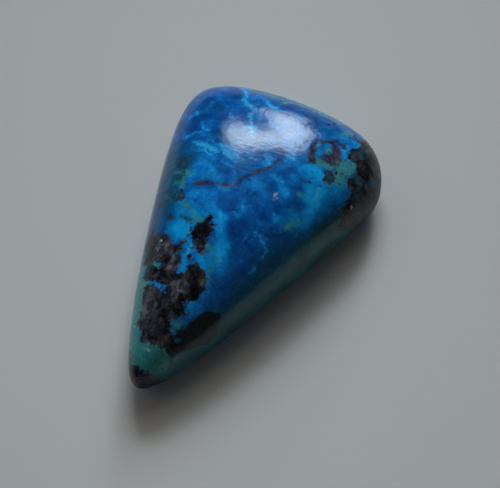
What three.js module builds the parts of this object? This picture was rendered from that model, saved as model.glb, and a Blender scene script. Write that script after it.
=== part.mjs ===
// A polished free-form shattuckite: one solid stone, about as long as a thumb joint.
// It lies on its flat base with the domed face up. Units are millimetres, +Z is up,
// +Y runs along the stone from its thin tip to its broad end, and the origin is on the
// base, under the middle of the outline's box.
import * as THREE from 'three';

// Heights above the surface that the stone rests on.
const CROWN_HEIGHT = 10.5; // the highest point of the dome
const GIRDLE_HEIGHT = 3.2; // the widest level, where the dome turns under to the base

// The outline seen from above, at the girdle: corners of a closed smooth curve that
// runs a little inside them, listed from the tip round by the right-hand side.
const OUTLINE_CORNERS = [
  [-0.5, -23.5], [3.5, -15.5], [5.5, -11.0], [10.0, 1.5], [13.5, 12.0],
  [14.0, 15.0], [10.5, 22.0], [-0.5, 22.5], [-6.5, 22.0], [-15.0, 19.5],
  [-13.5, 10.0], [-12.0, 4.5], [-9.5, -3.5], [-7.0, -11.0], [-3.5, -19.5],
];

// The highest point lies over the middle of the broad end, and the dome's level lines
// there are ovals. Further down they turn into the outline.
const CROWN_PLACE = [0.5, 5.0];
const OVAL_HALF_WIDTH = 8.5;
const OVAL_HALF_LENGTH = 13.0;
const OVAL_SHARE = 0.6; // how much of the oval is in the level lines at the crown
const OVAL_FADE = 2.0; // the power of the reach by which the oval fades out

// The dome's section from the crown to the girdle is a superellipse: nearly level in
// the middle, full at the shoulder and upright at the girdle.
const SHOULDER_OUT = 2.8;
const SHOULDER_UP = 2.2;

// The flat base is the outline drawn in towards the crown, and a quarter round joins
// it to the girdle.
const BASE_SHARE = 0.8;

// Steps of the faceted surface.
const SECTORS = 96;
const DOME_RINGS = 20;
const UNDER_RINGS = 6;

// A point on the closed uniform cubic B-spline with the given corners. The turn goes
// from 0 to 1 once round the outline.
function outlinePoint(corners, turn) {
  const place = turn * corners.length;
  const start = Math.floor(place);
  const t = place - start;
  const weights = [
    (1 - t) ** 3 / 6,
    (3 * t ** 3 - 6 * t ** 2 + 4) / 6,
    (-3 * t ** 3 + 3 * t ** 2 + 3 * t + 1) / 6,
    t ** 3 / 6,
  ];
  const point = new THREE.Vector2();
  weights.forEach((weight, i) => {
    const corner = corners[(start + i - 1 + corners.length) % corners.length];
    point.x += weight * corner[0];
    point.y += weight * corner[1];
  });
  return point;
}

// The outline as points, moved so that the middle of its box is the origin.
function centredOutline(corners, count) {
  const points = Array.from({ length: count }, (_, i) => outlinePoint(corners, i / count));
  const middle = new THREE.Box2().setFromPoints(points).getCenter(new THREE.Vector2());
  return points.map((point) => point.sub(middle));
}

// One level line of the dome. At reach 0 it is the crown, and at reach 1 the outline.
// Each point lies on the straight line, seen from above, from the crown to the outline.
function domeRing(outline, crown, reach) {
  const ovalShare = OVAL_SHARE * (1 - reach ** OVAL_FADE);
  const drop = (1 - reach ** SHOULDER_OUT) ** (1 / SHOULDER_UP);
  const height = GIRDLE_HEIGHT + (CROWN_HEIGHT - GIRDLE_HEIGHT) * drop;
  return outline.map((edge) => {
    const spoke = edge.clone().sub(crown);
    const toEdge = spoke.length();
    spoke.normalize();
    const toOval = 1 / Math.hypot(spoke.x / OVAL_HALF_WIDTH, spoke.y / OVAL_HALF_LENGTH);
    const radius = reach * ((1 - ovalShare) * toEdge + ovalShare * toOval);
    return new THREE.Vector3(crown.x + radius * spoke.x, crown.y + radius * spoke.y, height);
  });
}

// One level line of the quarter round under the girdle. At turn 0 it is the girdle, and
// at a quarter of a full turn it is the edge of the flat base.
function underRing(outline, crown, turn) {
  const share = 1 - (1 - BASE_SHARE) * (1 - Math.cos(turn));
  const height = GIRDLE_HEIGHT * (1 - Math.sin(turn));
  return outline.map((edge) => new THREE.Vector3(
    crown.x + share * (edge.x - crown.x),
    crown.y + share * (edge.y - crown.y),
    height,
  ));
}

// A closed skin: the crown's point, the rings from the top down, and the base's middle.
function closedSkin(topPoint, rings, bottomPoint) {
  const count = rings[0].length;
  const points = [topPoint, ...rings.flat(), bottomPoint];
  const bottomIndex = points.length - 1;
  const at = (ring, i) => 1 + ring * count + (i % count);
  const faces = [];
  for (let i = 0; i < count; i += 1) {
    faces.push(0, at(0, i), at(0, i + 1));
    for (let ring = 0; ring < rings.length - 1; ring += 1) {
      faces.push(at(ring, i), at(ring + 1, i), at(ring + 1, i + 1));
      faces.push(at(ring, i), at(ring + 1, i + 1), at(ring, i + 1));
    }
    faces.push(bottomIndex, at(rings.length - 1, i + 1), at(rings.length - 1, i));
  }
  const geometry = new THREE.BufferGeometry().setFromPoints(points);
  geometry.setIndex(faces);
  geometry.computeVertexNormals();
  return geometry;
}

function makeStone() {
  const outline = centredOutline(OUTLINE_CORNERS, SECTORS);
  const crown = new THREE.Vector2(...CROWN_PLACE);
  const rings = [];
  // Sine steps bring the rings closer together where the dome turns down at its edge.
  for (let i = 1; i <= DOME_RINGS; i += 1) {
    rings.push(domeRing(outline, crown, Math.sin((i / DOME_RINGS) * (Math.PI / 2))));
  }
  for (let i = 1; i <= UNDER_RINGS; i += 1) {
    const ring = underRing(outline, crown, (i / UNDER_RINGS) * (Math.PI / 2));
    if (i === UNDER_RINGS) {
      ring.forEach((point) => point.setZ(0));
    }
    rings.push(ring);
  }
  const topPoint = new THREE.Vector3(crown.x, crown.y, CROWN_HEIGHT);
  const bottomPoint = new THREE.Vector3(crown.x, crown.y, 0);
  const polishedBlue = new THREE.MeshStandardMaterial({
    color: '#1d6a9a',
    roughness: 0.15,
    metalness: 0,
  });
  const stone = new THREE.Mesh(closedSkin(topPoint, rings, bottomPoint), polishedBlue);
  stone.name = 'stone';
  return stone;
}

const shattuckite = new THREE.Group();
shattuckite.add(makeStone());

export default shattuckite;
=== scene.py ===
# %% [markdown]
# A polished shattuckite.
# The object is one free-form stone, 44 mm long: blue shattuckite grown through lighter
# turquoise chrysocolla and green malachite, with dark rock left at its tip and at one
# corner. It was ground to a rounded triangle, domed, and polished to a wet shine.
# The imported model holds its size, so this script starts by loading that as a frame.

# %% Load the frame
import math

import bpy
import numpy as np
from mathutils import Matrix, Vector


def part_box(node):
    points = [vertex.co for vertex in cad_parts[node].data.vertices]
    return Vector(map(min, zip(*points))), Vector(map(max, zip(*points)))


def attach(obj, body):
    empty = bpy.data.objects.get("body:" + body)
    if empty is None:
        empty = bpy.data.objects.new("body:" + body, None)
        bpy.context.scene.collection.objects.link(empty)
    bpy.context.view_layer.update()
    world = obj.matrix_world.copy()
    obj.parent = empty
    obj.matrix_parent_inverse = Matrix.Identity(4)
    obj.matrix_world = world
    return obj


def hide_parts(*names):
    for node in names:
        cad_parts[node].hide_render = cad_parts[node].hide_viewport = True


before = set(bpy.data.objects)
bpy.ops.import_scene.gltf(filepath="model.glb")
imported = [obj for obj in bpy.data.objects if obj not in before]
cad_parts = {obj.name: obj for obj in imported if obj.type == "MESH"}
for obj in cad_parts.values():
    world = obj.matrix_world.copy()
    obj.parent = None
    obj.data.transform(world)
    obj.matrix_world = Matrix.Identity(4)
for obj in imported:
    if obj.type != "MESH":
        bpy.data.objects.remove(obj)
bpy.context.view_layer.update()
MM = 0.001
TINY = 1e-9
print("frame holds", sorted(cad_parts))

# %% [markdown]
# The camera comes first. The view is from the tip's side, 60 degrees above the surface, through a
# long lens, so that lines hardly draw together. The aim is a little beside the stone's middle, as
# the frame shows it.

# %% Camera
CAMERA_TURN_DEG = 27.0
CAMERA_HEIGHT_DEG = 60.0
CAMERA_DISTANCE_MM = 208.0
CAMERA_AIM_MM = (1.6, 2.8, 0.0)
LENS_MM = 120.0


def direction(turn_deg, height_deg):
    """The unit vector towards a place turned round Z from the -Y side and raised by a height."""
    turn, height = math.radians(turn_deg), math.radians(height_deg)
    level = math.cos(height)
    return Vector((math.sin(turn) * level, -math.cos(turn) * level, math.sin(height)))


def look_at(thing, place, aim):
    """Puts a camera or a light at a place and turns its -Z axis to the aim."""
    thing.location = place
    thing.rotation_euler = (Vector(aim) - Vector(place)).to_track_quat("-Z", "Y").to_euler()


camera = bpy.data.objects.new("camera", bpy.data.cameras.new("camera"))
bpy.context.scene.collection.objects.link(camera)
camera_aim = Vector(CAMERA_AIM_MM) * MM
camera_way = direction(CAMERA_TURN_DEG, CAMERA_HEIGHT_DEG) * CAMERA_DISTANCE_MM * MM
look_at(camera, camera_aim + camera_way, camera_aim)
camera.data.lens = LENS_MM
camera.data.clip_start = 10 * MM
bpy.context.scene.camera = camera
print("camera at", [round(c, 4) for c in camera.location])

# %% [markdown]
# The stone's form is the same formula as the solid's, from the same sizes. Seen from
# above, the outline is a closed smooth curve drawn by a few corners. Over it stands a
# dome whose section is a superellipse, and below the widest level a quarter round leads
# to the flat base. A formula gives a surface as fine as the polish needs, where a
# subdivided copy of the faceted solid would keep traces of its facets in the highlight.

# %% Sizes of the stone, in millimetres
CROWN_HEIGHT = 10.5
GIRDLE_HEIGHT = 3.2
OUTLINE_POINTS = 2880
OUTLINE_CORNERS = np.array([
    (-0.5, -23.5), (3.5, -15.5), (5.5, -11.0), (10.0, 1.5), (13.5, 12.0),
    (14.0, 15.0), (10.5, 22.0), (-0.5, 22.5), (-6.5, 22.0), (-15.0, 19.5),
    (-13.5, 10.0), (-12.0, 4.5), (-9.5, -3.5), (-7.0, -11.0), (-3.5, -19.5),
])
CROWN_PLACE = np.array([0.5, 5.0])
OVAL_HALF_WIDTH = 8.5
OVAL_HALF_LENGTH = 13.0
OVAL_SHARE = 0.6
OVAL_FADE = 2.0
SHOULDER_OUT = 2.8
SHOULDER_UP = 2.2
BASE_SHARE = 0.8
GIRDLE_PART = 0.78  # the part of the way from crown to base edge that lies above the girdle

# %% The outline and the dome


def closed_spline(corners, count):
    """Points on the closed uniform cubic B-spline.

    Each is a blend of four corners in a row, with weights that are cubic in the place
    between them.
    """
    place = np.arange(count) * len(corners) / count
    start = np.floor(place).astype(int)
    t = (place - start)[:, None]
    near = [corners[(start + step) % len(corners)] for step in (-1, 0, 1, 2)]
    weights = [
        (1 - t) ** 3,
        3 * t ** 3 - 6 * t ** 2 + 4,
        -3 * t ** 3 + 3 * t ** 2 + 3 * t + 1,
        t ** 3,
    ]
    return sum(w * c for w, c in zip(weights, near)) / 6


outline = closed_spline(OUTLINE_CORNERS, OUTLINE_POINTS)
outline -= (outline.min(axis=0) + outline.max(axis=0)) / 2
spokes = outline - CROWN_PLACE
spoke_turn = np.arctan2(spokes[:, 1], spokes[:, 0])
spoke_length = np.hypot(spokes[:, 0], spokes[:, 1])
spoke_order = np.argsort(spoke_turn)


def stone_surface(turn, way):
    """A point of the stone from its direction seen from the crown and its way from there.

    The direction is in radians. The way is 0 at the crown and 1 at the edge of the base.
    Down to the girdle the height follows the dome's superellipse. Below it comes the
    quarter round, along which the radius draws in towards the base.
    """
    to_edge = np.interp(turn, spoke_turn[spoke_order], spoke_length[spoke_order], period=2 * np.pi)
    to_oval = 1 / np.hypot(np.cos(turn) / OVAL_HALF_WIDTH, np.sin(turn) / OVAL_HALF_LENGTH)
    reach = np.sin(np.clip(way / GIRDLE_PART, 0, 1) * np.pi / 2)
    under = np.clip((way - GIRDLE_PART) / (1 - GIRDLE_PART), 0, 1) * np.pi / 2
    oval = OVAL_SHARE * (1 - reach ** OVAL_FADE)
    drawn_in = 1 - (1 - BASE_SHARE) * (1 - np.cos(under))
    radius = reach * ((1 - oval) * to_edge + oval * to_oval) * drawn_in
    rise = (1 - reach ** SHOULDER_OUT) ** (1 / SHOULDER_UP)
    dome_height = GIRDLE_HEIGHT + (CROWN_HEIGHT - GIRDLE_HEIGHT) * rise
    round_height = GIRDLE_HEIGHT * (1 - np.sin(under))
    height = np.where(way < GIRDLE_PART, dome_height, round_height)
    place_x = CROWN_PLACE[0] + radius * np.cos(turn)
    place_y = CROWN_PLACE[1] + radius * np.sin(turn)
    return np.stack([place_x, place_y, height], axis=-1)


solid_low, solid_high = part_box("stone")
print("outline", np.round(np.ptp(outline, axis=0), 2), "mm")
print("solid", np.round(np.subtract(solid_high, solid_low) / MM, 2), "mm")

# %% [markdown]
# The skin is a rectangular grid folded over the stone. Squares of the grid become rings
# round the crown, so that there is no pole where the faces crowd, and every face is
# about 0.2 mm wide, close to the finest detail that shows. The grid's rim is the edge
# of the base, and a few rings close the flat base.

# %% Grid over the dome
COLUMNS = 230
ROWS = 356


def square_to_disc(a, b):
    """Folds the square from -1 to 1 into a disc, and gives the direction and the radius.

    Squares become circles of the same half width, and each side of a square is spread
    evenly over a quarter turn.
    """
    wide = np.abs(a) >= np.abs(b)
    radius = np.where(wide, np.abs(a), np.abs(b))
    safe_a = np.where(a == 0, TINY, a)
    safe_b = np.where(b == 0, TINY, b)
    side_turn = np.where(wide, np.pi / 4 * b / safe_a, np.pi / 2 - np.pi / 4 * a / safe_b)
    turn = side_turn + np.where(np.where(wide, a, b) < 0, np.pi, 0)
    return turn, radius


across, along = np.meshgrid(np.linspace(-1, 1, COLUMNS + 1), np.linspace(-1, 1, ROWS + 1))
grid_turn, grid_way = square_to_disc(across, along)
dome = stone_surface(grid_turn, grid_way)
index = np.arange(dome.shape[0] * dome.shape[1]).reshape(dome.shape[:2])
dome_corners = [index[:-1, :-1], index[:-1, 1:], index[1:, 1:], index[1:, :-1]]
dome_faces = np.stack(dome_corners, axis=-1).reshape(-1, 4)
face_width = np.linalg.norm(np.diff(dome, axis=1), axis=-1).mean()
print("dome faces", len(dome_faces), "each about", round(float(face_width), 2), "mm wide")

# %% Flat base
BASE_RINGS = (0.96, 0.88, 0.72, 0.48, 0.24)
rim = np.concatenate([index[0, :-1], index[:-1, -1], index[-1, :0:-1], index[:0:-1, 0]])
rim_points = dome.reshape(-1, 3)[rim]
base_middle = np.array([CROWN_PLACE[0], CROWN_PLACE[1], 0.0])
from_middle = rim_points - base_middle
base_rings = np.concatenate([base_middle + share * from_middle for share in BASE_RINGS])
ring_index = np.concatenate([rim, index.size + np.arange(len(base_rings))])
ring_index = ring_index.reshape(len(BASE_RINGS) + 1, -1)
next_index = np.roll(ring_index, -1, axis=1)
base_corners = [ring_index[:-1], ring_index[1:], next_index[1:], next_index[:-1]]
base_faces = np.stack(base_corners, axis=-1).reshape(-1, 4)
middle_index = index.size + len(base_rings)
fan_faces = np.stack([np.full(len(rim), middle_index), next_index[-1], ring_index[-1]], axis=-1)
print("base rings", len(BASE_RINGS), "of", len(rim), "points")

# %% [markdown]
# Patterns need places that follow the surface. Seen from above, the steep flanks would
# be squeezed, so the stone gets a map of its own: each point keeps its direction from
# the crown, and its distance is the way walked over the surface. All the places of
# minerals below are millimetres on this map, +x to the right and +y to the broad end.

# %% The stone's own map
MAP_TURNS = 1440
MAP_WAYS = 480
turn_table = np.linspace(0, 2 * np.pi, MAP_TURNS + 1)
way_table = np.linspace(0, 1, MAP_WAYS + 1)
table_points = stone_surface(turn_table[None, :], way_table[:, None] + 0 * turn_table[None, :])
table_steps = np.linalg.norm(np.diff(table_points, axis=0), axis=-1)
walked = np.concatenate([np.zeros((1, MAP_TURNS + 1)), np.cumsum(table_steps, axis=0)])


def look_up(table, row, column):
    """The value of a table between its entries, blended straight from the four nearest."""
    r = np.clip(np.floor(row).astype(int), 0, table.shape[0] - 2)
    c = np.clip(np.floor(column).astype(int), 0, table.shape[1] - 2)
    fr, fc = row - r, column - c
    upper = table[r, c] * (1 - fc) + table[r, c + 1] * fc
    lower = table[r + 1, c] * (1 - fc) + table[r + 1, c + 1] * fc
    return upper * (1 - fr) + lower * fr


turn_share = np.mod(grid_turn, 2 * np.pi) / (2 * np.pi)
distance = look_up(walked, grid_way * MAP_WAYS, turn_share * MAP_TURNS)
map_x = (CROWN_PLACE[0] + distance * np.cos(grid_turn)).ravel()
map_y = (CROWN_PLACE[1] + distance * np.sin(grid_turn)).ravel()
print("map", np.round([map_x.min(), map_x.max(), map_y.min(), map_y.max()], 1), "mm")

# %% Which way the skin faces


def grid_normals(points):
    """The unit normal at each point of a grid: the cross product of the steps along it."""
    step_a = np.gradient(points, axis=1)
    step_b = np.gradient(points, axis=0)
    normals = np.cross(step_a, step_b)
    return normals / np.maximum(np.linalg.norm(normals, axis=-1, keepdims=True), TINY)


def smooth_step(value, low, high):
    """0 below low, 1 above high, and an even S curve between."""
    t = np.clip((value - low) / (high - low), 0, 1)
    return t * t * (3 - 2 * t)


normals = grid_normals(dome).reshape(-1, 3)
places = dome.reshape(-1, 3)
SHOWN_SIDE = np.array(direction(CAMERA_TURN_DEG, CAMERA_HEIGHT_DEG))
print("points that face the camera", round(float((normals @ SHOWN_SIDE > 0).mean()), 2))

# %% [markdown]
# Nothing in a stone has a ruled edge. Smooth random noise in space, seeded so that it is
# the same each run, pushes the map's places about before any mineral is drawn. It could
# be left to the shader, but here it also bends the outlines that the relief follows. The
# same noise makes the border between the shown skin and the rest ragged.

# %% Smooth noise
LATTICE = 32
LATTICE_START = 8.5  # the stone's middle lies this many cells in, between lattice points


def noise_field(points, wavelength, seed):
    """Noise from -1 to 1, with lumps about as wide as the wavelength, in millimetres.

    Random values at the points of a cubic lattice are blended between them, along an S
    curve of the fifth power.
    """
    values = np.random.default_rng(seed).uniform(-1, 1, (LATTICE, LATTICE, LATTICE))
    place = points / wavelength + LATTICE_START
    cell = np.floor(place).astype(int)
    t = place - cell
    t = t * t * t * (t * (6 * t - 15) + 10)
    total = np.zeros(len(points))
    for dx in (0, 1):
        for dy in (0, 1):
            for dz in (0, 1):
                weight = (np.where(dx, t[:, 0], 1 - t[:, 0]) * np.where(dy, t[:, 1], 1 - t[:, 1])
                          * np.where(dz, t[:, 2], 1 - t[:, 2]))
                corner = np.mod(cell + (dx, dy, dz), LATTICE)
                total += weight * values[corner[:, 0], corner[:, 1], corner[:, 2]]
    return total


def layered_noise(points, wavelength, seed, layers=3):
    """Noise added up in layers, each half as wide and 0.55 as strong as the one before."""
    return sum(noise_field(points, wavelength / 2 ** i, seed + i) * 0.55 ** i for i in range(layers))


RAGGED_WAVE_MM, RAGGED_SHARE = 5.0, 0.30
UNSEEN_BELOW, SEEN_ABOVE = -0.45, 0.15  # how much the skin faces the shown side
ragged = RAGGED_SHARE * layered_noise(places, RAGGED_WAVE_MM, 31)
unseen = 1 - smooth_step(normals @ SHOWN_SIDE + ragged, UNSEEN_BELOW, SEEN_ABOVE)
print("points that no picture shows", round(float(unseen.mean()), 2))

# %% Places pushed about
LONG_WOBBLE_MM, SHORT_WOBBLE_MM = 2.4, 0.9
LONG_PUSH_MM, SHORT_PUSH_MM = 0.30, 0.16


def wobbled(place, seed):
    """A coordinate of the map, pushed about by a long and a short wobble."""
    long_push = LONG_PUSH_MM * noise_field(places, LONG_WOBBLE_MM, seed)
    short_push = SHORT_PUSH_MM * noise_field(places, SHORT_WOBBLE_MM, seed + 1)
    return place + long_push + short_push


x = wobbled(map_x, seed=11)
y = wobbled(map_y, seed=13)
print("wobble of places up to", round(float(np.hypot(x - map_x, y - map_y).max()), 2), "mm")

# %% [markdown]
# Each mineral is a field: how far inside its patch a point is, in millimetres, negative
# outside. Fields blend well between points and the shader can still roughen their edge,
# where painted colours would go soft. Three kinds of patch are enough: lumps that are
# ovals, veins that follow a line, and plates with corners.

# %% Lumps
OUTSIDE_MM = -9.0


def oval_reach(cx, cy, half_w, half_l, turn_deg):
    """How far a place is from the middle of a turned oval: 0 there and 1 on its edge."""
    c, s = math.cos(math.radians(turn_deg)), math.sin(math.radians(turn_deg))
    u = ((x - cx) * c + (y - cy) * s) / half_w
    v = (-(x - cx) * s + (y - cy) * c) / half_l
    return np.hypot(u, v)


def lumps(rows):
    """The deepest of several ovals.

    Each row is middle x and y, half width, half length and turn in degrees. The field is
    the share left to the oval's edge times its smaller half.
    """
    field = np.full(x.shape, OUTSIDE_MM)
    for cx, cy, half_w, half_l, turn_deg in rows:
        left = 1 - oval_reach(cx, cy, half_w, half_l, turn_deg)
        field = np.maximum(field, left * min(half_w, half_l))
    return field


small_oval = lumps([(0, 0, 1, 2, 0)])
print("an oval with halves of 1 and 2 mm is up to", round(float(small_oval.max()), 2), "mm deep")

# %% Veins and plates


def segment_distance(ax, ay, bx, by):
    """The distance to a straight piece from a to b, and the nearest place on it, 0 to 1."""
    dx, dy = bx - ax, by - ay
    t = np.clip(((x - ax) * dx + (y - ay) * dy) / max(dx * dx + dy * dy, TINY), 0, 1)
    return np.hypot(x - ax - t * dx, y - ay - t * dy), t


def veins(rows):
    """The deepest of several lines.

    Each row is a list of points, each with x, y and the line's half width there, which
    changes evenly from one point to the next.
    """
    field = np.full(x.shape, OUTSIDE_MM)
    for points in rows:
        for (ax, ay, aw), (bx, by, bw) in zip(points[:-1], points[1:]):
            away, t = segment_distance(ax, ay, bx, by)
            field = np.maximum(field, aw + (bw - aw) * t - away)
    return field


def plates(rows):
    """The deepest of several closed outlines with straight sides.

    The field is the distance to the nearest side, positive inside. A place is inside if
    a line from it to the right crosses the sides an odd number of times.
    """
    field = np.full(x.shape, OUTSIDE_MM)
    for corners in rows:
        away = np.full(x.shape, np.inf)
        inside = np.zeros(x.shape, bool)
        for (ax, ay), (bx, by) in zip(corners, corners[1:] + corners[:1]):
            away = np.minimum(away, segment_distance(ax, ay, bx, by)[0])
            crosses = (ay > y) != (by > y)
            cut = ax + (y - ay) * (bx - ax) / (by - ay if by != ay else TINY)
            inside ^= crosses & (x < cut)
        field = np.maximum(field, np.where(inside, away, -away))
    return field


def both(*fields):
    """Where any of the fields is inside."""
    return np.maximum.reduce(fields)


def without(field, hole):
    """The field with another one cut out of it."""
    return np.minimum(field, -hole)


def share_inside(field):
    """The share of the dome's points that are inside a field."""
    return round(float((field > 0).mean()), 4)


print("a plate of 4 by 4 mm covers", share_inside(plates([[(-2, -2), (2, -2), (2, 2), (-2, 2)]])))

# %% [markdown]
# No picture shows the stone's steep back and hidden sides, so their pattern is a
# guess. The same minerals go on there as noise, each over a share of the skin near to
# the share that it has in front. This noise is taken from turned and bent places,
# because a straight cut through its lattice would show as rows of square patches.

# %% Places for the far side's noise
FAR_TURN = np.array([[0.79, -0.53, 0.31], [0.61, 0.73, -0.31], [-0.06, 0.43, 0.90]])
FAR_BEND_MM, FAR_BEND_WAVE_MM = 1.8, 3.4
FAR_BEND_SEEDS = (21, 22, 23)
bends = [noise_field(places, FAR_BEND_WAVE_MM, seed) for seed in FAR_BEND_SEEDS]
far_places = places @ FAR_TURN + FAR_BEND_MM * np.stack(bends, axis=1)
print("far places bent by up to", round(float(FAR_BEND_MM * np.abs(bends).max()), 2), "mm")

# %% From the shown side to the far side
FAR_LIMIT_MM = 1.2
FAR_SLOPE = 0.6


def by_side(shown, far):
    """One field on the shown side and another on the far side, blended between them."""
    return shown * (1 - unseen) + far * unseen


def on_far_side(field, wavelength, seed, share):
    """Carries a drawn field on as noise that has the given share of itself inside.

    The drawn field is clipped first, so that its far places don't outweigh the noise.
    """
    spread = layered_noise(far_places, wavelength, seed)
    cut = np.quantile(spread, 1 - share)
    grown = (spread - cut) * wavelength * FAR_SLOPE
    return by_side(np.clip(field, -FAR_LIMIT_MM, FAR_LIMIT_MM), grown)


def shown_side_only(field):
    """Lets a drawn field end where the far side begins."""
    return by_side(np.maximum(field, -FAR_LIMIT_MM), -FAR_LIMIT_MM)


print("the shown side has", share_inside(shown_side_only(np.ones(x.shape))), "of the points")

# %% [markdown]
# The blue itself is not one colour. Its tone runs from navy through royal blue to sky
# blue in soft clouds some millimetres wide. Each cloud adds to the tone or takes from
# it, strongest in its middle.

# %% Clouds in the blue
BLUE_CLOUDS = [
    # middle x and y, half width, half length, turn, and what it adds to the tone
    (-9.0, 13.5, 4.0, 5.0, 0, -0.14), (-8.5, 17.0, 2.5, 1.6, 20, -0.06),
    (-10.5, 10.8, 1.6, 1.4, 0, -0.06), (-5.0, 18.3, 1.6, 1.0, 0, 0.04),
    (2.8, 18.8, 2.8, 1.4, 0, -0.22), (5.8, 18.6, 1.3, 1.6, 0, 0.12), (5.2, 16.8, 1.2, 1.3, 0, 0.06),
    (-6.4, 5.6, 1.8, 2.2, 0, 0.20), (-5.4, 4.2, 2.2, 1.2, 10, 0.16),
    (-3.8, 1.2, 2.4, 1.4, 15, 0.24), (-5.6, 2.2, 1.4, 1.0, 0, 0.05),
    (-0.4, 1.6, 0.5, 0.5, 0, -0.20), (0.7, 0.9, 0.5, 0.4, 0, -0.25), (1.3, 1.4, 0.7, 0.8, 0, 0.30),
    (1.0, 0.1, 0.9, 0.5, 0, 0.16), (-1.0, 4.4, 1.4, 1.2, 0, 0.08), (3.6, 7.2, 2.6, 1.8, 0, 0.06),
    (2.0, 3.4, 1.6, 1.6, 0, 0.05), (1.6, -1.2, 1.2, 1.4, 0, -0.14), (3.8, -0.6, 2.0, 2.0, 0, -0.16),
    (3.4, -2.6, 2.0, 2.0, 0, -0.16), (6.2, 1.0, 2.2, 1.6, 0, -0.16), (7.2, 5.4, 0.9, 1.1, 0, -0.34),
    (5.4, 3.4, 1.2, 1.2, 0, -0.16), (5.0, -4.5, 2.6, 2.4, 0, -0.18),
    (5.6, -7.2, 2.2, 2.4, 0, -0.22), (7.0, -1.0, 2.6, 3.0, 0, -0.14),
    (0.5, -3.8, 0.5, 0.9, 0, -0.10), (3.4, -8.4, 1.4, 1.2, 20, -0.02),
    (3.4, -10.8, 1.4, 0.9, 30, -0.06), (5.2, 9.6, 1.2, 1.4, 0, 0.14),
    (3.2, 10.6, 1.6, 0.9, 20, 0.16), (10.6, 7.6, 1.2, 2.6, 0, -0.30), (8.2, 7.4, 1.1, 2.0, 0, 0.30),
    (1.6, -5.0, 0.9, 1.3, 0, 0.30), (-0.3, -1.3, 0.8, 0.8, 0, 0.25),
    (-4.4, -3.6, 1.2, 1.1, 0, 0.20), (-7.0, -2.0, 1.3, 1.8, 0, -0.35),
    (1.0, -15.8, 0.8, 1.2, 0, -0.35), (7.0, 10.2, 1.2, 0.7, 0, 0.25),
    (-11.0, 4.0, 2.0, 4.4, 0, -0.12), (-9.6, -1.0, 1.6, 3.4, 0, -0.12),
    (6.0, -4.7, 0.5, 0.8, 0, 0.16), (4.3, 0.8, 0.5, 0.5, 0, 0.18), (5.4, 2.3, 0.6, 0.7, 0, 0.22),
    (4.6, 6.0, 0.8, 0.6, 0, 0.22), (3.1, 7.1, 1.1, 0.3, -10, 0.18), (2.2, 5.0, 1.2, 0.5, -20, 0.12),
    (1.8, -12.4, 0.9, 1.0, 0, 0.10), (2.2, -10.0, 0.8, 0.9, 0, 0.10),
]


def clouds(level, rows):
    """A level to which each soft cloud adds, strongest in its middle."""
    total = np.full(x.shape, level)
    for cx, cy, half_w, half_l, turn_deg, adds in rows:
        total += adds * np.exp(-oval_reach(cx, cy, half_w, half_l, turn_deg) ** 2)
    return total


BLUE_LEVEL, FAR_BLUE_LEVEL, FAR_BLUE_SWING = 0.50, 0.45, 0.28
far_blue = FAR_BLUE_LEVEL + FAR_BLUE_SWING * layered_noise(far_places, 6.0, 41)
blue_tone = by_side(clouds(BLUE_LEVEL, BLUE_CLOUDS), far_blue)
print("blue tone", round(blue_tone.min(), 2), "to", round(blue_tone.max(), 2))

# %% [markdown]
# Turquoise is chrysocolla, softer and lighter than the blue. It lies in a band down
# the middle of the stone, in a broad patch at the right, and in another at the left
# beside the dark rock. Its edges are soft, so lumps that run together draw it best.

# %% Turquoise
TURQUOISE_LUMPS = [
    (-4.4, -3.5, 1.8, 1.7, 10), (-5.9, -1.6, 1.2, 0.8, 0), (-3.4, -1.4, 1.4, 0.8, -20),
    (-1.6, -0.6, 1.2, 0.6, 0), (0.9, -3.6, 0.7, 1.0, 20), (1.6, -4.9, 1.0, 1.2, 0),
    (1.8, -6.5, 1.1, 1.0, 10), (1.2, -7.3, 1.0, 0.6, 0), (-1.9, -5.5, 0.75, 0.9, 0),
    (-1.6, -7.0, 0.6, 1.0, -10), (-1.7, -8.6, 0.4, 0.8, 10), (0.0, -7.0, 1.0, 0.6, 0),
    (1.4, -12.3, 0.5, 0.6, 20), (8.3, 7.4, 1.4, 2.2, 0), (7.0, 10.2, 1.9, 1.0, 0),
    (9.6, 9.6, 1.8, 1.8, 0), (8.8, 5.4, 1.1, 2.4, 0), (9.8, 7.4, 1.0, 1.8, 0),
    (7.3, 3.5, 1.2, 0.9, 0), (7.0, 2.1, 1.3, 0.6, 10), (8.4, 3.0, 0.8, 1.0, 0),
    (5.9, 13.6, 0.5, 0.95, 0), (8.1, 13.9, 0.3, 0.5, 0), (6.8, 14.3, 0.3, 0.45, 0),
    (8.6, 15.6, 0.5, 1.0, 10), (8.6, 17.6, 0.6, 0.8, 0),
]
TURQUOISE_VEINS = [
    [(-1.2, -0.5, 0.5), (-0.3, -1.2, 0.75), (0.3, -2.2, 0.5), (0.9, -3.2, 0.6), (1.6, -4.4, 0.9)],
    [(0.4, 9.4, 0.1), (0.9, 8.8, 0.3), (1.2, 8.2, 0.35), (0.9, 7.5, 0.1)],
]
turquoise = both(lumps(TURQUOISE_LUMPS), veins(TURQUOISE_VEINS))
turquoise = on_far_side(turquoise, wavelength=7.0, seed=51, share=0.12)
print("turquoise covers", share_inside(turquoise), "of the skin")

# %% [markdown]
# The lightest blue lies in feathers and flecks, where thin cracks filled with a paler
# mineral. They are up to a millimetre wide and six long. Each is a line that swells and
# tapers, which a few points with a width at each can follow.

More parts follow.
